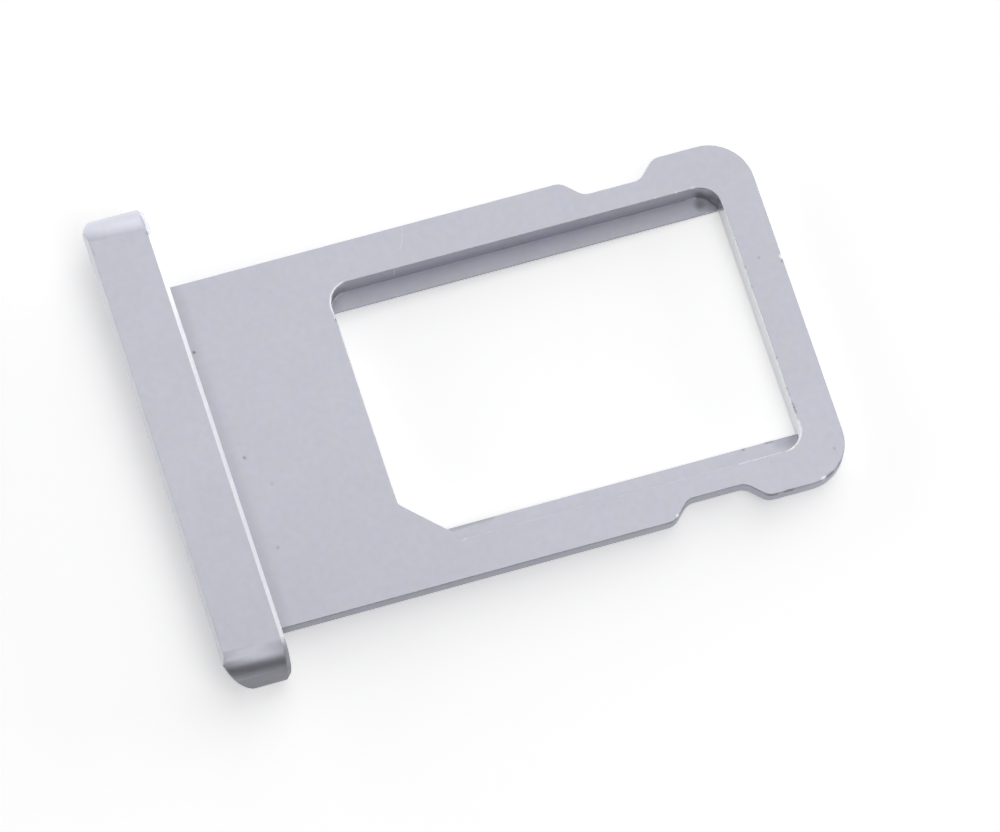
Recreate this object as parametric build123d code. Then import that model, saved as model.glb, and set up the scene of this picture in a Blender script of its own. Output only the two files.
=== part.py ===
# Card tray for one nano card, machined from a single piece of aluminium.
# X runs from the outer cap to the tip, Y across the tray, Z up out of the card pocket.
# The origin is the middle of the tray's footprint, level with the underside of the cap.
# All sizes are in millimetres, and angles in degrees.
import math
import os

from build123d import *

# The card, and the room it has in its pocket
CARD_LENGTH = 12.30
CARD_WIDTH = 8.80
CARD_CLEARANCE = 0.06
POCKET_DEPTH = 0.77
POCKET_CORNER_RADIUS = 0.70
KEY_CORNER_LEG = 1.60
KEY_CORNER_RADIUS = 0.25

# The ledges that hold the card from below, along its two long sides
LEDGE_THICKNESS = 0.13
FAR_LEDGE_WIDTH = 0.58
NEAR_LEDGE_WIDTH = 0.69

# The frame of plate around the pocket
TIP_RAIL = 1.22
CAP_RAIL = 4.60
FAR_RAIL = 1.31
NEAR_RAIL = 1.25
TIP_CORNER_RADIUS = 1.40
PLATE_LOWER_BEVEL = 0.42
BEVEL_CORNER_RADIUS = 0.07
EDGE_BREAK = 0.02

# The two latch notches, one in each long edge of the plate
NOTCH_DEPTH = 0.57
NOTCH_FLOOR = 1.80
NOTCH_RAMP = 0.58
NOTCH_TO_TIP = 4.28

# The outer cap, which closes the slot of the device
CAP_HEIGHT = 2.00
CAP_THICKNESS = 2.06
CAP_RISE = 0.56
CAP_FAR_OVERHANG = 2.80
CAP_NEAR_OVERHANG = 1.39
CAP_FACE_SLOPE = 35.0
CAP_LAND = 0.12
CAP_FACE_BREAK = 0.06
CAP_INNER_CHAMFER = 0.15
CAP_ROOT = 0.40

# The hole through the cap for the eject pin
EJECT_HOLE_RADIUS = 0.55
EJECT_HOLE_TO_END = 1.40

# Sizes that follow from the ones above
POCKET_LENGTH = CARD_LENGTH + 2 * CARD_CLEARANCE
POCKET_WIDTH = CARD_WIDTH + 2 * CARD_CLEARANCE
PLATE_THICKNESS = POCKET_DEPTH + LEDGE_THICKNESS
NOTCH_CORNER_RADIUS = PLATE_LOWER_BEVEL + BEVEL_CORNER_RADIUS
PLATE_LENGTH = CAP_RAIL + POCKET_LENGTH + TIP_RAIL
PLATE_WIDTH = NEAR_RAIL + POCKET_WIDTH + FAR_RAIL
CAP_LENGTH = CAP_NEAR_OVERHANG + PLATE_WIDTH + CAP_FAR_OVERHANG

# Places that follow from them, in the tray's own frame
CAP_OUTER_X = -(CAP_THICKNESS + PLATE_LENGTH) / 2
CAP_INNER_X = CAP_OUTER_X + CAP_THICKNESS
ROOT_X = CAP_INNER_X - CAP_ROOT
TIP_X = CAP_INNER_X + PLATE_LENGTH
FAR_END_Y = CAP_LENGTH / 2
NEAR_EDGE_Y = CAP_NEAR_OVERHANG - FAR_END_Y
FAR_EDGE_Y = NEAR_EDGE_Y + PLATE_WIDTH
PLATE_TOP_Z = CAP_HEIGHT - CAP_RISE
PLATE_BOTTOM_Z = PLATE_TOP_Z - PLATE_THICKNESS
POCKET_FLOOR_Z = PLATE_TOP_Z - POCKET_DEPTH
POCKET_X = CAP_INNER_X + CAP_RAIL + POCKET_LENGTH / 2
POCKET_Y = NEAR_EDGE_Y + NEAR_RAIL + POCKET_WIDTH / 2


def rounded_outline(corners):
    """A flat face inside a ring of corners, each given as x, y and the radius that rounds it."""
    points = [(x, y) for x, y, _ in corners]
    radii = [radius for _, _, radius in corners]
    return make_face(FilletPolyline(*points, radius=radii, close=True))


def notch_corners(edge_y, inward):
    """The corners of one latch notch in the edge at edge_y, in order from the cap to the tip."""
    middle = TIP_X - NOTCH_TO_TIP
    floor = NOTCH_FLOOR / 2
    mouth = floor + NOTCH_RAMP
    floor_y = edge_y + inward * NOTCH_DEPTH
    return [
        (middle - mouth, edge_y, NOTCH_CORNER_RADIUS),
        (middle - floor, floor_y, NOTCH_CORNER_RADIUS),
        (middle + floor, floor_y, NOTCH_CORNER_RADIUS),
        (middle + mouth, edge_y, NOTCH_CORNER_RADIUS),
    ]


def plate_outline():
    """The plate from above, with its root reaching into the cap."""
    corners = [(ROOT_X, NEAR_EDGE_Y, 0)]
    corners += notch_corners(NEAR_EDGE_Y, 1)
    corners += [(TIP_X, NEAR_EDGE_Y, TIP_CORNER_RADIUS), (TIP_X, FAR_EDGE_Y, TIP_CORNER_RADIUS)]
    corners += reversed(notch_corners(FAR_EDGE_Y, -1))
    corners += [(ROOT_X, FAR_EDGE_Y, 0)]
    return rounded_outline(corners)


def pocket_outline():
    """The card's outline with its clearance: a rectangle with its key corner cut off."""
    left = POCKET_X - POCKET_LENGTH / 2
    right = POCKET_X + POCKET_LENGTH / 2
    near = POCKET_Y - POCKET_WIDTH / 2
    far = POCKET_Y + POCKET_WIDTH / 2
    return rounded_outline([
        (left + KEY_CORNER_LEG, near, KEY_CORNER_RADIUS),
        (right, near, POCKET_CORNER_RADIUS),
        (right, far, POCKET_CORNER_RADIUS),
        (left, far, POCKET_CORNER_RADIUS),
        (left, near + KEY_CORNER_LEG, KEY_CORNER_RADIUS),
    ])


def window_outline():
    """The part of the pocket that is open below, between the two ledges."""
    near = POCKET_Y - POCKET_WIDTH / 2 + NEAR_LEDGE_WIDTH
    far = POCKET_Y + POCKET_WIDTH / 2 - FAR_LEDGE_WIDTH
    strip = Pos(POCKET_X, (near + far) / 2) * Rectangle(2 * POCKET_LENGTH, far - near)
    return pocket_outline() & strip


def rim(face):
    """The edges round a level face of the plate, without the one that is hidden in the cap."""
    return face.edges().filter_by(lambda edge: edge.center().X > ROOT_X + CAP_ROOT / 4)


def plate():
    """The plate with its card pocket, its lower edges bevelled and its upper edges broken."""
    body = Pos(0, 0, PLATE_BOTTOM_Z) * extrude(plate_outline(), PLATE_THICKNESS)
    body = chamfer(rim(body.faces().sort_by(Axis.Z)[0]), PLATE_LOWER_BEVEL)
    body -= Pos(0, 0, POCKET_FLOOR_Z) * extrude(pocket_outline(), PLATE_THICKNESS)
    body -= Pos(0, 0, PLATE_BOTTOM_Z - LEDGE_THICKNESS) * extrude(window_outline(), PLATE_THICKNESS)
    return chamfer(rim(body.faces().sort_by(Axis.Z)[-1]), EDGE_BREAK)


def cap():
    """The cap: a bar with full round ends, and an outer face that slopes in below a narrow land."""
    outline = Plane.YZ.offset(CAP_INNER_X) * Pos(0, CAP_HEIGHT / 2) * SlotOverall(CAP_LENGTH, CAP_HEIGHT)
    bar = extrude(outline, -CAP_THICKNESS - CAP_LAND)
    bar = chamfer(bar.faces().sort_by(Axis.X)[-1].edges(), CAP_INNER_CHAMFER)

    slope = math.radians(CAP_FACE_SLOPE)
    shoulder = (CAP_OUTER_X, 0, CAP_HEIGHT - CAP_LAND)
    face_out = (-math.cos(slope), 0, -math.sin(slope))
    bar = split(bar, bisect_by=Plane(origin=shoulder, z_dir=face_out), keep=Keep.BOTTOM)
    sloped_face = bar.faces().sort_by(Axis(origin=(0, 0, 0), direction=face_out))[-1]
    bar = chamfer(sloped_face.edges(), CAP_FACE_BREAK)
    return split(bar, bisect_by=Plane(origin=shoulder, z_dir=(-1, 0, 1)), keep=Keep.BOTTOM)


def eject_hole():
    """The straight hole along X for the eject pin, in the far overhang at half height."""
    middle = (CAP_OUTER_X, FAR_END_Y - EJECT_HOLE_TO_END, CAP_HEIGHT / 2)
    return extrude(Plane(origin=middle, z_dir=(1, 0, 0)) * Circle(EJECT_HOLE_RADIUS), 2 * CAP_THICKNESS)


def sim_tray():
    """The whole tray as one solid."""
    tray = cap() + plate() - eject_hole()
    tray.label = "sim_tray"
    return tray


os.makedirs("parts", exist_ok=True)
export_step(sim_tray(), "parts/sim_tray.step")
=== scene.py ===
import logging
import math
from dataclasses import dataclass
from typing import Any

import bmesh
import bpy
from mathutils import Matrix, Vector


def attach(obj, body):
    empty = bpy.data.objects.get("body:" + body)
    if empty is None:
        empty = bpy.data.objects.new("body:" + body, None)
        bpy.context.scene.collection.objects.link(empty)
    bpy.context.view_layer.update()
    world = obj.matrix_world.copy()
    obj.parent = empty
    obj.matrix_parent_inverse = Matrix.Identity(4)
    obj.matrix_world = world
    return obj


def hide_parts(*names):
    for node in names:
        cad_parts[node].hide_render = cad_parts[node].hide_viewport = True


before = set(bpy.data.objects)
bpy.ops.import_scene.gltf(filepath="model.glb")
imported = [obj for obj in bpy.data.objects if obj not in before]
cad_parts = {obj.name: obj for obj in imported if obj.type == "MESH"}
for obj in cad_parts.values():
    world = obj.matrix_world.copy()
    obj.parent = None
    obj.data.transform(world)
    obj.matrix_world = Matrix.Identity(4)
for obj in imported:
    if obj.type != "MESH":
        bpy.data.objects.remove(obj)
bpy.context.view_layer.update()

log = logging.getLogger("card_tray")

MM = 0.001
NODE = "sim_tray"

PHOTO_WIDTH = 1000
PHOTO_HEIGHT = 832

# Sockets that are meant by their place in a node's list, where that isn't the first
COORDINATES_NORMAL, COORDINATES_OBJECT = 1, 3
VECTOR_NUMBER = 1
NOISE_COLOUR = 1
MIX_FACTOR, MIX_FIRST, MIX_SECOND, MIX_RESULT = 0, 6, 7, 2
CAMERA_RAY, GLOSSY_RAY, TRANSMISSION_RAY = 0, 3, 6

Colour = tuple[float, float, float, float]
Point = tuple[float, float, float]
Span = tuple[float, float]

WHITE: Colour = (1.0, 1.0, 1.0, 1.0)
NOISE_MIDDLE: Point = (0.5, 0.5, 0.5)


def mm(*values: float) -> Vector:
    """Millimetres in the tray's frame as a vector in metres."""
    return Vector(values) * MM


class Signal:
    """What a node gives, such as a number that varies over a surface.

    Python's arithmetic on numbers adds the Math nodes for it.
    """

    def __init__(self, graph: "NodeGraph", socket: bpy.types.NodeSocket) -> None:
        """Keeps the socket and the graph that it belongs to."""
        self.graph = graph
        self.socket = socket

    def _math(self, operation: str, *values: Any, clamp: bool = False) -> "Signal":
        """Adds a Math node.

        Args:
            operation: the Math node's operation.
            values: its inputs, as signals or numbers.
            clamp: whether the result is held between 0 and 1.

        Returns:
            The node's result.
        """
        settings = {"operation": operation, "use_clamp": clamp}
        return self.graph.add("ShaderNodeMath", settings, dict(enumerate(values)))[0]

    def __add__(self, other: Any) -> "Signal":
        """Sum."""
        return self._math("ADD", self, other)

    def __sub__(self, other: Any) -> "Signal":
        """Difference."""
        return self._math("SUBTRACT", self, other)

    def __rsub__(self, other: Any) -> "Signal":
        """Difference from a number."""
        return self._math("SUBTRACT", other, self)

    def __mul__(self, other: Any) -> "Signal":
        """Product."""
        return self._math("MULTIPLY", self, other)

    def __truediv__(self, other: Any) -> "Signal":
        """Quotient."""
        return self._math("DIVIDE", self, other)

    __radd__ = __add__
    __rmul__ = __mul__

    def clamped(self) -> "Signal":
        """The same signal, held between 0 and 1."""
        return self._math("ADD", self, 0.0, clamp=True)

    def larger(self, other: Any) -> "Signal":
        """The larger of this and another."""
        return self._math("MAXIMUM", self, other)

    def size(self) -> "Signal":
        """The same signal without its sign."""
        return self._math("ABSOLUTE", self)

    def step(self, low: float, high: float) -> "Signal":
        """A smooth step.

        Args:
            low: where the step leaves 0, or 1 if it is above high.
            high: where the step reaches the other end.

        Returns:
            A signal from 0 to 1, which falls where low is above high.
        """
        first, last = (0.0, 1.0) if low < high else (1.0, 0.0)
        inputs = {
            "Value": self,
            "From Min": min(low, high),
            "From Max": max(low, high),
            "To Min": first,
            "To Max": last,
        }
        settings = {"interpolation_type": "SMOOTHSTEP"}
        return self.graph.add("ShaderNodeMapRange", settings, inputs)[0]

    def along(self, span: Span) -> "Signal":
        """A smooth step between two places that are given in millimetres."""
        return self.step(span[0] * MM, span[1] * MM)


class NodeGraph:
    """The nodes of one material or world."""

    def __init__(self, tree: bpy.types.NodeTree) -> None:
        """Empties the tree and keeps it."""
        self.tree = tree
        tree.nodes.clear()

    def add(self, kind: str, settings: dict[str, Any], inputs: dict[Any, Any]) -> list[Signal]:
        """Adds a node.

        Args:
            kind: the node's type.
            settings: its own settings, which are set first.
            inputs: what its sockets take, by name or number: a Signal, a socket or a value.

        Returns:
            Its outputs, in order.
        """
        node = self.tree.nodes.new(kind)
        for name, value in settings.items():
            setattr(node, name, value)
        for key, value in inputs.items():
            target = node.inputs[key]
            if isinstance(value, Signal):
                self.tree.links.new(value.socket, target)
            else:
                target.default_value = value
        return [Signal(self, socket) for socket in node.outputs]

    def place_and_normal(self) -> tuple[Signal, Signal]:
        """The point on the object and the direction it faces, in the object's coordinates."""
        texture = self.add("ShaderNodeTexCoord", {}, {})
        return texture[COORDINATES_OBJECT], texture[COORDINATES_NORMAL]

    def rays(self) -> tuple[Signal, Signal]:
        """Where the eye looks straight at a thing, and where metal or glass shows it."""
        path = self.add("ShaderNodeLightPath", {}, {})
        return path[CAMERA_RAY], path[GLOSSY_RAY] + path[TRANSMISSION_RAY]

    def vector(self, operation: str, *values: Any) -> list[Signal]:
        """Adds a Vector Math node, and gives its vector and its number."""
        settings = {"operation": operation}
        return self.add("ShaderNodeVectorMath", settings, dict(enumerate(values)))

    def scaled(self, vector: Any, factor: Any) -> Signal:
        """A vector times a number."""
        inputs = {0: vector, "Scale": factor}
        return self.add("ShaderNodeVectorMath", {"operation": "SCALE"}, inputs)[0]

    def parts(self, vector: Signal) -> list[Signal]:
        """The three numbers of a vector."""
        return self.add("ShaderNodeSeparateXYZ", {}, {"Vector": vector})

    def noise(self, at: Signal, size: float, detail: float = 2.0) -> list[Signal]:
        """Soft noise around 0.5.

        Args:
            at: the point that it is read at.
            size: the width of its blotches, in millimetres.
            detail: how many finer layers it has.

        Returns:
            The noise as a number, and as a colour.
        """
        inputs = {"Vector": at, "Scale": 1.0 / (size * MM), "Detail": detail}
        return self.add("ShaderNodeTexNoise", {"noise_dimensions": "3D"}, inputs)

    def mix_colour(self, factor: Any, first: Any, second: Any, blend: str = "MIX") -> Signal:
        """Mixes two colours.

        Args:
            factor: how much of the second, from 0 to 1.
            first: the first colour.
            second: the second colour.
            blend: how they are joined.

        Returns:
            The mixed colour.
        """
        settings = {"data_type": "RGBA", "blend_type": blend}
        inputs = {MIX_FACTOR: factor, MIX_FIRST: first, MIX_SECOND: second}
        return self.add("ShaderNodeMix", settings, inputs)[MIX_RESULT]


@dataclass(frozen=True)
class Mark:
    """A speck of wear or a spot of painted shade or highlight, or such a line with an end, in
    millimetres in the tray's frame.

    A strength of 1 hides the metal under it, and softness is the share of the radius over which
    it fades out.
    """

    start: Point
    radius: float
    strength: float
    end: Point | None = None
    softness: float = 0.6

    def cover(self, graph: NodeGraph, place: Signal) -> Signal:
        """How much of the mark lies on a point.

        Args:
            graph: the material's nodes.
            place: the point on the object.

        Returns:
            A signal from 0 to the mark's strength.
        """
        nearest = mm(*self.start)
        if self.end is not None:
            run = mm(*self.end) - nearest
            from_start = graph.vector("SUBTRACT", place, nearest)[0]
            share = graph.vector("DOT_PRODUCT", from_start, run)[VECTOR_NUMBER]
            part = (share / run.length_squared).clamped()
            nearest = graph.vector("ADD", graph.scaled(run, part), nearest)[0]
        away = graph.vector("DISTANCE", place, nearest)[VECTOR_NUMBER]
        outer = self.radius * (1.0 + self.softness)
        inner = self.radius * (1.0 - self.softness)
        return away.along((outer, inner)) * self.strength


@dataclass(frozen=True)
class Arc:
    """A thin line round a quarter of a level ring, in millimetres in the tray's frame.

    The quarter lies on the side that the signs of towards name along X and Y. The line fades out
    over fade at the quarter's ends, and over depth above and below the ring.
    """

    centre: Point
    radius: float
    towards: tuple[float, float]
    strength: float
    width: float = 0.045
    fade: Span = (0.05, 0.25)
    depth: Span = (0.14, 0.08)

    def cover(self, graph: NodeGraph, place: Signal) -> Signal:
        """How much of the line lies on a point.

        Args:
            graph: the material's nodes.
            place: the point on the object.

        Returns:
            A signal from 0 to the line's strength.
        """
        away = graph.vector("SUBTRACT", place, mm(*self.centre))[0]
        x, y, z = graph.parts(away)
        from_line = (graph.vector("LENGTH", away)[VECTOR_NUMBER] - self.radius * MM).size()
        line = from_line.along((self.width, 0.0))
        starts, full = self.fade
        beside_x = (x * self.towards[0]).along((starts, full))
        beside_y = (y * self.towards[1]).along((-full, -starts))
        return line * beside_x * beside_y * z.size().along(self.depth) * self.strength


@dataclass(frozen=True)
class WearAndPaintedLight:
    """The marks that use has left on the tray, with painted shade in the pocket's corners and
    painted highlights along the pocket's rim.
    """

    dark: tuple[Mark, ...] = (
        # specks on the plate, between the cap and the pocket
        Mark((-7.94, 2.80, 1.44), 0.050, 0.70),
        Mark((-7.48, -0.89, 1.44), 0.050, 0.50),
        Mark((-7.37, -3.93, 1.44), 0.055, 0.30),
        Mark((-6.94, -1.92, 1.44), 0.050, 0.18),
        Mark((-3.60, -4.74, 1.44), 0.045, 0.08),
        # specks on the tip
        Mark((9.46, 1.01, 1.44), 0.045, 0.30),
        Mark((9.73, -5.54, 1.44), 0.045, 0.30),
        Mark((7.76, -5.42, 1.44), 0.040, 0.10),
        # knocks along the tip's outer edge
        Mark((10.12, 0.72, 1.42), 0.055, 0.45),
        Mark((9.72, -6.04, 1.40), 0.060, 0.35),
        Mark((9.27, -6.34, 1.40), 0.070, 0.45, end=(9.42, -6.26, 1.40)),
        Mark((7.88, -6.44, 1.39), 0.050, 0.55, end=(8.10, -6.44, 1.39)),
        Mark((7.10, -6.40, 1.36), 0.060, 0.55, end=(7.60, -6.44, 1.36)),
        Mark((4.25, -6.43, 1.38), 0.060, 0.25),
        # knocks along the pocket's rim at the tip
        Mark((8.95, 0.83, 1.42), 0.050, 0.40),
        Mark((8.95, 0.17, 1.42), 0.045, 0.30),
        Mark((8.95, -2.24, 1.42), 0.050, 0.30),
        Mark((8.95, -3.29, 1.42), 0.050, 0.30),
        Mark((8.95, -3.49, 1.42), 0.040, 0.30),
        Mark((8.96, -3.80, 1.42), 0.035, 0.55, end=(8.97, -4.10, 1.42)),
        # knocks along the pocket's rim at the cap's side
        Mark((-3.51, 2.62, 1.43), 0.040, 0.35),
        Mark((-3.50, 2.40, 1.43), 0.035, 0.30),
        # on the near ledge
        Mark((-2.05, -4.56, 0.67), 0.060, 0.24, end=(-0.75, -4.53, 0.67)),
        Mark((7.21, -4.52, 0.66), 0.055, 0.60),
        Mark((7.95, -4.52, 0.66), 0.050, 0.50, end=(8.15, -4.52, 0.66)),
        # painted shade at the near ledge's end, in the corner by the tip wall
        Mark((8.72, -4.66, 0.67), 0.220, 0.22, end=(8.40, -4.60, 0.67), softness=0.8),
        # painted shade in the far corner of the pocket, on its wall and on the ledge
        Mark((8.46, 3.72, 1.05), 0.150, 0.25, end=(8.46, 3.70, 0.85), softness=0.8),
        Mark((8.42, 3.46, 0.67), 0.150, 0.65, softness=0.8),
        Mark((8.92, 3.20, 0.67), 0.030, 0.20, end=(8.80, 3.17, 0.67)),
        # along the cap's inner edge at its far end
        Mark((-8.26, 7.45, 1.88), 0.050, 0.20, end=(-8.25, 7.00, 1.98)),
        Mark((-8.23, 6.70, 1.99), 0.065, 0.40),
        Mark((-10.00, 6.66, 1.93), 0.050, 0.42, end=(-9.98, 6.46, 1.95)),
    )
    bright: tuple[Mark | Arc, ...] = (
        # burrs on the tip's outer edge and on the ramp of the near notch
        Mark((10.15, 0.87, 1.43), 0.075, 1.00),
        Mark((9.08, -6.38, 1.43), 0.050, 0.90, end=(9.15, -6.35, 1.43)),
        Mark((4.50, -6.30, 1.42), 0.055, 1.00),
        # burrs on the pocket's far rim
        Mark((7.70, 3.74, 1.43), 0.045, 0.55),
        Mark((8.22, 3.74, 1.43), 0.055, 0.42),
        Mark((7.04, 3.74, 1.43), 0.035, 0.30),
        # painted highlights on the rim round two corners of the pocket and along its side at the
        # cap
        Arc((8.23, -4.495, 1.44), 0.735, (1.0, -1.0), 0.70),
        Arc((-2.79, 3.025, 1.44), 0.735, (-1.0, 1.0), 0.90),
        Arc((-2.79, 3.025, 0.67), 0.690, (-1.0, 1.0), 0.60),
        Mark((-3.50, 3.05, 1.43), 0.035, 0.70, end=(-3.50, 2.70, 1.43)),
        Mark((-3.50, 2.30, 1.43), 0.025, 0.25, end=(-3.50, -3.20, 1.43)),
        # painted glints in the pocket's far corner
        Mark((8.82, 3.40, 0.82), 0.090, 1.00, end=(8.88, 3.28, 0.86)),
        Mark((8.08, 3.72, 0.69), 0.018, 0.60, end=(8.52, 3.72, 0.69)),
        Mark((8.55, 3.15, 0.67), 0.030, 0.45),
        # a painted highlight along the pocket's near rim
        Mark((8.45, -5.19, 1.44), 0.028, 0.35, end=(6.80, -5.21, 1.44)),
        # scratches
        Mark((-0.68, 4.94, 1.44), 0.014, 0.18, end=(-0.80, 4.55, 1.44)),
        Mark((-0.80, 4.55, 1.44), 0.014, 0.22, end=(-0.96, 4.27, 1.44)),
        Mark((-2.26, 4.60, 1.44), 0.014, 0.10, end=(-2.20, 4.50, 1.44)),
        Mark((-2.00, -5.27, 1.44), 0.014, 0.40, end=(-1.84, -5.22, 1.44)),
        Mark((-1.30, 3.72, 1.36), 0.020, 0.50, end=(-1.30, 3.72, 0.95)),
    )

    def cover(self, graph: NodeGraph, place: Signal, marks: tuple[Mark | Arc, ...]) -> Signal:
        """The strongest of some marks at each point.

        Args:
            graph: the material's nodes.
            place: the point on the object.
            marks: the marks to lay down.

        Returns:
            A signal from 0 to 1.
        """
        total = marks[0].cover(graph, place)
        for mark in marks[1:]:
            total = total.larger(mark.cover(graph, place))
        return total


@dataclass(frozen=True)
class BlastedAluminium:
    """Fine-blasted, clear-anodised aluminium, with brighter cut edges, the marks of use, and
    painted shade, sheen and highlights.

    Places and sizes are in millimetres in the tray's frame. A span is where a mask leaves 0 and
    where it reaches 1. A lean is such a span of how far the surface faces up or towards the tip.
    """

    colour: Colour = (0.550, 0.542, 0.618, 1.0)
    # the pale colour of cut metal, also used for painted highlights and the tip wall's painted
    # reflection
    cut_and_highlight_colour: Colour = (0.920, 0.930, 0.960, 1.0)
    # the dark colour paints grime and knocks, and also painted shade in the pocket's corners
    grime_and_shade_colour: Colour = (0.150, 0.145, 0.155, 1.0)
    roughness: float = 0.45
    cut_roughness: float = 0.20
    dark_mark_roughness: float = 0.70

    # faint blotches of tint and of brightness
    cloud_size: float = 0.50
    cool_cloud: Colour = (0.92, 0.98, 1.0, 1.0)
    warm_cloud: Colour = (1.0, 0.985, 0.93, 1.0)
    fine_size: float = 0.24
    fine_detail: float = 3.0
    fine_share: float = 0.12
    broad_size: float = 1.6
    broad_share: float = 0.05
    plain_share: float = 0.925

    # painted shade in the corner at the cap's foot
    foot_shade: float = 0.14
    foot_x: Span = (-7.55, -8.05)
    foot_z: Span = (1.50, 1.46)

    # painted shade on the far ledge
    far_ledge_shade: float = 0.12
    far_ledge_y: Span = (3.05, 3.20)
    far_ledge_z: Span = (0.75, 0.70)

    # the uneven rim of the plate's top: wear mixed with painted sheen
    rim_wear_and_sheen: float = 0.7
    rim_size: float = 0.11
    rim_middle: float = 0.45
    rim_lean: tuple[Span, Span] = ((0.97, 0.90), (0.20, 0.40))
    rim_z: tuple[Span, Span] = ((1.38, 1.40), (1.48, 1.46))
    rim_x: Span = (-7.95, -7.85)

    # painted light on the near side, which is painted duller at the cap and brighter at the tip
    sheen_y: Span = (0.0, -7.0)
    sheen_x: Span = (-9.0, 8.0)
    sheen_at_cap: float = -0.055
    sheen_gain: float = 0.075

    # the cap's chamfer, pale as cut and fading at its ends as a painted highlight, and the narrow
    # land over its outer face, painted pale as a highlight
    slant_lean: tuple[Span, Span] = ((0.30, 0.50), (0.92, 0.80))
    slant_z: Span = (1.60, 1.70)
    chamfer_lean: Span = (0.45, 0.60)
    chamfer_near_end: Span = (-7.20, -6.80)
    chamfer_far_end: Span = (6.40, 6.90)
    chamfer_far_share: float = 0.5
    land_lean: Span = (-0.45, -0.60)
    land_shine: float = 0.4

    # the pocket's wall at the tip, which is smooth and painted pale for a brighter reflection
    tip_wall_lean: Span = (-0.30, -0.75)
    tip_wall_x: Span = (8.40, 8.60)
    tip_wall_y: Span = (3.45, 3.10)

    # the marks' uneven edges, and the roughness that the blasting leaves
    ragged_size: float = 0.06
    ragged_sway: float = 0.08
    grain_size: float = 0.06
    grain_depth: float = 0.01
    grain_strength: float = 0.25

    def material(self) -> bpy.types.Material:
        """Builds the finish.

        Returns:
            The material.
        """
        material = bpy.data.materials.new("blasted_aluminium")
        material.use_nodes = True
        graph = NodeGraph(material.node_tree)
        place, normal = graph.place_and_normal()
        wear_and_light = WearAndPaintedLight()
        ragged = self._ragged(graph, place)
        bright = wear_and_light.cover(graph, ragged, wear_and_light.bright)
        dark = wear_and_light.cover(graph, ragged, wear_and_light.dark)
        cut_and_highlight, mirror = self._pale_cut_and_highlight(graph, place, normal)
        _, _, faces_up = graph.parts(normal)
        blasted = self._blasted(graph, place, faces_up)
        pale = cut_and_highlight.larger(mirror).larger(bright)
        colour = graph.mix_colour(pale, blasted, self.cut_and_highlight_colour)
        colour = graph.mix_colour(dark, colour, self.grime_and_shade_colour)
        roughness = mirror * (self.cut_roughness - self.roughness) + self.roughness
        inputs = {
            "Base Color": colour,
            "Metallic": 1.0,
            "Roughness": roughness.larger(dark * self.dark_mark_roughness),
            "Normal": self._grain(graph, place),
        }
        shader = graph.add("ShaderNodeBsdfPrincipled", {}, inputs)[0]
        graph.add("ShaderNodeOutputMaterial", {}, {"Surface": shader})
        return material

    def _ragged(self, graph: NodeGraph, place: Signal) -> Signal:
        """Moves the point about a little, so that marks get uneven edges.

        Args:
            graph: the material's nodes.
            place: the point on the object.

        Returns:
            The moved point.
        """
        colour = graph.noise(place, self.ragged_size)[NOISE_COLOUR]
        sway = graph.vector("SUBTRACT", colour, NOISE_MIDDLE)[0]
        return graph.vector("ADD", place, graph.scaled(sway, self.ragged_sway * MM))[0]

    def _mottled(self, graph: NodeGraph, place: Signal) -> Signal:
        """How bright the blasted metal is before it is shaded, with its faint blotches."""
        fine = graph.noise(place, self.fine_size, self.fine_detail)[0] * self.fine_share
        return fine + graph.noise(place, self.broad_size)[0] * self.broad_share + self.plain_share

    def _rim_wear_and_sheen(self, graph: NodeGraph, place: Signal, faces_up: Signal) -> Signal:
        """How much brighter or darker the rim of the plate's top is, from wear mixed with painted
        sheen.

        Args:
            graph: the material's nodes.
            place: the point on the object.
            faces_up: how far it faces up.

        Returns:
            A signal around 0, and 0 away from the rim.
        """
        x, _, z = graph.parts(place)
        rim = faces_up.step(*self.rim_lean[0]) * faces_up.step(*self.rim_lean[1])
        rim = rim * z.along(self.rim_z[0]) * z.along(self.rim_z[1]) * x.along(self.rim_x)
        uneven = graph.noise(place, self.rim_size, self.fine_detail)[0] - self.rim_middle
        return rim * (uneven * self.rim_wear_and_sheen)

    def _blasted(self, graph: NodeGraph, place: Signal, faces_up: Signal) -> Signal:
        """The colour of the blasted metal.

        Args:
            graph: the material's nodes.
            place: the point on the object.
            faces_up: how far it faces up.

        Returns:
            The colour, with faint blotches, painted shade in the corner at the cap's foot and on
            the far ledge, a painted sheen along the near side, and uneven along the plate's rim,
            where wear and painted sheen mix.
        """
        x, y, z = graph.parts(place)
        cloud = graph.noise(place, self.cloud_size)[0]
        tint = graph.mix_colour(cloud, self.cool_cloud, self.warm_cloud)
        foot = x.along(self.foot_x) * z.along(self.foot_z) * self.foot_shade
        ledge = y.along(self.far_ledge_y) * z.along(self.far_ledge_z) * self.far_ledge_shade
        sheen = x.along(self.sheen_x) * self.sheen_gain + self.sheen_at_cap
        level = self._mottled(graph, place) * (1.0 - foot) * (1.0 - ledge)
        level = level + self._rim_wear_and_sheen(graph, place, faces_up) + y.along(self.sheen_y) * sheen
        return graph.scaled(graph.mix_colour(1.0, self.colour, tint, "MULTIPLY"), level)

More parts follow.
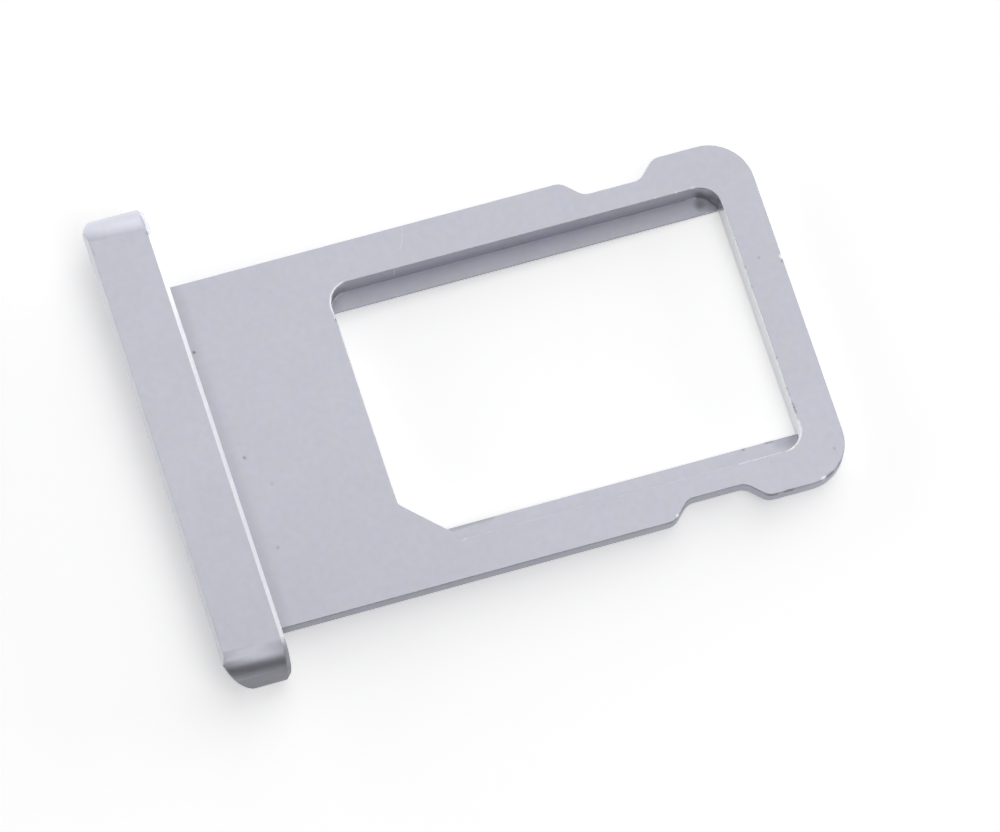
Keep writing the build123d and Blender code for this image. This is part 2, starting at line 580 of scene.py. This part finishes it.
    def _pale_cut_and_highlight(self, graph: NodeGraph, place: Signal, normal: Signal) -> tuple[Signal, Signal]:
        """Where the metal is pale and where it is smooth. The chamfer is pale as freshly cut, its
        ends fading as a painted highlight; the land gets a painted highlight, and the smooth tip
        wall is painted pale for a brighter reflection.

        Args:
            graph: the material's nodes.
            place: the point on the object.
            normal: the direction it faces.

        Returns:
            Two signals from 0 to 1.
        """
        x, y, z = graph.parts(place)
        faces_tip, _, faces_up = graph.parts(normal)
        slant = faces_up.step(*self.slant_lean[0]) * faces_up.step(*self.slant_lean[1])
        slant = slant * z.along(self.slant_z)
        ends = 1.0 - y.along(self.chamfer_far_end) * self.chamfer_far_share
        ends = ends * y.along(self.chamfer_near_end)
        chamfer = faces_tip.step(*self.chamfer_lean) * slant * ends
        land = faces_tip.step(*self.land_lean) * slant * self.land_shine
        tip_wall = x.along(self.tip_wall_x) * y.along(self.tip_wall_y)
        return chamfer.larger(land), faces_tip.step(*self.tip_wall_lean) * tip_wall

    def _grain(self, graph: NodeGraph, place: Signal) -> Signal:
        """The fine roughness that the blasting leaves, as a bent normal.

        Args:
            graph: the material's nodes.
            place: the point on the object.

        Returns:
            The normal.
        """
        inputs = {
            "Strength": self.grain_strength,
            "Distance": self.grain_depth * MM,
            "Height": graph.noise(place, self.grain_size, self.fine_detail)[0],
        }
        return graph.add("ShaderNodeBump", {}, inputs)[0]


@dataclass
class Tray:
    """The tray itself, shown as a finer copy of its solid."""

    merge_within: float = 0.0005 * MM
    flat_within: float = math.radians(0.5)
    round_over: float = 0.012 * MM
    round_steps: int = 2
    round_from: float = math.radians(22.0)

    def build(self) -> bpy.types.Object:
        """Copies the solid's mesh, joins its triangles and softens its edges.

        Returns:
            The shown tray.
        """
        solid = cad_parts[NODE]
        mesh = bpy.data.meshes.new("tray")
        bm = bmesh.new()
        bm.from_mesh(solid.data)
        bmesh.ops.remove_doubles(bm, verts=bm.verts, dist=self.merge_within)
        bmesh.ops.dissolve_limit(
            bm,
            angle_limit=self.flat_within,
            use_dissolve_boundaries=False,
            verts=bm.verts,
            edges=bm.edges,
        )
        open_edges = sum(not edge.is_manifold for edge in bm.edges)
        log.info("tray mesh: %d faces, open edges %d", len(bm.faces), open_edges)
        bm.to_mesh(mesh)
        bm.free()
        mesh.polygons.foreach_set("use_smooth", [True] * len(mesh.polygons))
        tray = bpy.data.objects.new("tray", mesh)
        bpy.context.scene.collection.objects.link(tray)
        bevel = tray.modifiers.new("soft_edges", "BEVEL")
        bevel.width = self.round_over
        bevel.segments = self.round_steps
        bevel.limit_method = "ANGLE"
        bevel.angle_limit = self.round_from
        bevel.harden_normals = True
        weigh = tray.modifiers.new("even_shading", "WEIGHTED_NORMAL")
        weigh.keep_sharp = True
        tray.data.materials.append(BlastedAluminium().material())
        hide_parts(NODE)
        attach(tray, "root")
        return tray


@dataclass
class PhotoCamera:
    """The photograph's own view, solved from the pocket, the plate and the cap.

    Azimuth 0 looks along +Y. The middle of the pocket, in millimetres, stands at pocket_pixel in
    the photograph.
    """

    azimuth: float = math.radians(-27.04)
    elevation: float = math.radians(67.94)
    roll: float = math.radians(10.17)
    distance: float = 339.46 * MM
    focal_pixels: float = 11236.0
    pocket_centre: Point = (2.72, -0.735, 1.44)
    pocket_pixel: tuple[float, float] = (565.5, 366.05)
    sensor: float = 36.0
    clip_factor: float = 10.0

    def build(self) -> bpy.types.Object:
        """Makes the scene's camera.

        Returns:
            The camera.
        """
        a, e, r = self.azimuth, self.elevation, self.roll
        back = Vector((math.sin(a) * math.cos(e), -math.cos(a) * math.cos(e), math.sin(e)))
        level = Vector((math.cos(a), math.sin(a), 0.0))
        upward = back.cross(level)
        right = level * math.cos(r) + upward * math.sin(r)
        up = back.cross(right)
        metres_per_pixel = self.distance / self.focal_pixels
        across = (self.pocket_pixel[0] - PHOTO_WIDTH / 2) * metres_per_pixel
        down = (self.pocket_pixel[1] - PHOTO_HEIGHT / 2) * metres_per_pixel
        spot = mm(*self.pocket_centre) - right * across + up * down + back * self.distance
        data = bpy.data.cameras.new("photo_camera")
        data.sensor_width = self.sensor
        data.lens = self.sensor * self.focal_pixels / PHOTO_WIDTH
        data.clip_start = self.distance / self.clip_factor
        data.clip_end = self.distance * self.clip_factor
        camera = bpy.data.objects.new("photo_camera", data)
        bpy.context.scene.collection.objects.link(camera)
        turn = Matrix((right, up, back)).transposed().to_4x4()
        camera.matrix_world = Matrix.Translation(spot) @ turn
        bpy.context.scene.camera = camera
        return camera


@dataclass
class Softbox:
    """A flat studio light that faces the tray.

    Its azimuth, from +X towards +Y, and its elevation are in degrees, and its sizes in metres.
    Level is the brightness that the metal mirrors, where 1 is white.
    """

    name: str
    azimuth: float
    elevation: float
    width: float
    height: float
    level: float
    distance: float = 0.80

    def build(self) -> bpy.types.Object:
        """Makes the light.

        Returns:
            The light.
        """
        data = bpy.data.lights.new(self.name, "AREA")
        data.shape = "RECTANGLE"
        data.size = self.width
        data.size_y = self.height
        data.energy = self.level * math.pi * self.width * self.height
        light = bpy.data.objects.new(self.name, data)
        bpy.context.scene.collection.objects.link(light)
        a, e = math.radians(self.azimuth), math.radians(self.elevation)
        away = Vector((math.cos(a) * math.cos(e), math.sin(a) * math.cos(e), math.sin(e)))
        light.location = away * self.distance
        light.rotation_euler = away.to_track_quat("Z", "Y").to_euler()
        return light


@dataclass
class Studio:
    """A pale floor, soft lights and a white surround.

    The metal mirrors the surround white on the side away from the camera, which is +Y, and dim on
    the near side.
    """

    softboxes: tuple[Softbox, ...] = (
        Softbox("overhead", azimuth=0.0, elevation=90.0, width=0.32, height=0.32, level=1.60),
        Softbox("high_front", azimuth=285.0, elevation=62.0, width=0.46, height=0.52, level=1.90),
        Softbox("high_back", azimuth=60.0, elevation=52.5, width=0.82, height=0.92, level=1.02),
        Softbox("low_back", azimuth=65.0, elevation=15.0, width=1.30, height=0.21, level=0.75),
        Softbox("low_right", azimuth=10.0, elevation=15.0, width=0.56, height=0.21, level=3.00),
        Softbox("low_left", azimuth=150.0, elevation=15.0, width=1.08, height=0.21, level=1.90),
    )

    # the floor, and how strongly it glows for the eye
    floor_size: float = 0.6
    floor_colour: Colour = (0.95, 0.95, 0.95, 1.0)
    glow_seen: float = 0.412

    # its glow in the metal: what it is on the near side, and two rises along Y in millimetres
    glow_near: float = 0.05
    glow_gains: tuple[float, float] = (0.20, 0.60)
    glow_rises: tuple[Span, Span] = ((-8.2, -6.6), (4.0, 10.0))

    # how the floor lies under the tray
    rest_x: float = -8.24 * MM
    rest_tilt: float = math.radians(1.72)

    # the share of +Y in a direction where the surround turns white for the metal, and its light
    # elsewhere
    white_behind: Span = (0.50, 0.90)
    ambient: float = 0.05

    def build(self) -> None:
        """Makes the floor, the lights and the world."""
        self._floor()
        self._world()
        for softbox in self.softboxes:
            log.info("hung %s", softbox.build().name)

    def _floor(self) -> None:
        """The floor, which touches the cap's underside and the tip's lower edge."""
        mesh = bpy.data.meshes.new("floor")
        bm = bmesh.new()
        tilt = Matrix.Rotation(-self.rest_tilt, 4, "Y")
        rest = Matrix.Translation((self.rest_x, 0.0, 0.0)) @ tilt
        half = self.floor_size / 2
        bmesh.ops.create_grid(bm, x_segments=1, y_segments=1, size=half, matrix=rest)
        bm.to_mesh(mesh)
        bm.free()
        floor = bpy.data.objects.new("floor", mesh)
        bpy.context.scene.collection.objects.link(floor)
        material = bpy.data.materials.new("pale_floor")
        material.use_nodes = True
        graph = NodeGraph(material.node_tree)
        seen, shown = graph.rays()
        _, y, _ = graph.parts(graph.place_and_normal()[0])
        rises = [y.along(span) * gain for span, gain in zip(self.glow_rises, self.glow_gains)]
        inputs = {
            "Base Color": self.floor_colour,
            "Roughness": 1.0,
            "Specular IOR Level": 0.0,
            "Emission Color": WHITE,
            "Emission Strength": seen * self.glow_seen + shown * (sum(rises) + self.glow_near),
        }
        shader = graph.add("ShaderNodeBsdfPrincipled", {}, inputs)[0]
        graph.add("ShaderNodeOutputMaterial", {}, {"Surface": shader})
        mesh.materials.append(material)

    def _world(self) -> None:
        """The surround: white to the eye, and to the metal towards +Y."""
        world = bpy.data.worlds.new("surround")
        bpy.context.scene.world = world
        world.use_nodes = True
        graph = NodeGraph(world.node_tree)
        seen, shown = graph.rays()
        direction = graph.add("ShaderNodeTexCoord", {}, {})[0]
        _, towards_back, _ = graph.parts(direction)
        lit = seen + shown * towards_back.step(*self.white_behind)
        inputs = [{"Color": WHITE, "Strength": level} for level in (self.ambient, 1.0)]
        dim, white = (graph.add("ShaderNodeBackground", {}, each)[0] for each in inputs)
        surround = graph.add("ShaderNodeMixShader", {}, {0: lit, 1: dim, 2: white})[0]
        graph.add("ShaderNodeOutputWorld", {}, {"Surface": surround})


def main() -> None:
    """Builds the tray, the camera and the studio."""
    logging.basicConfig(level=logging.INFO, format="%(name)s: %(message)s")
    bpy.context.scene.view_settings.view_transform = "Standard"
    tray = Tray().build()
    log.info("built %s", tray.name)
    camera = PhotoCamera().build()
    log.info("placed %s", camera.name)
    Studio().build()
    log.info("lit the studio")


if __name__ == "__main__":
    main()
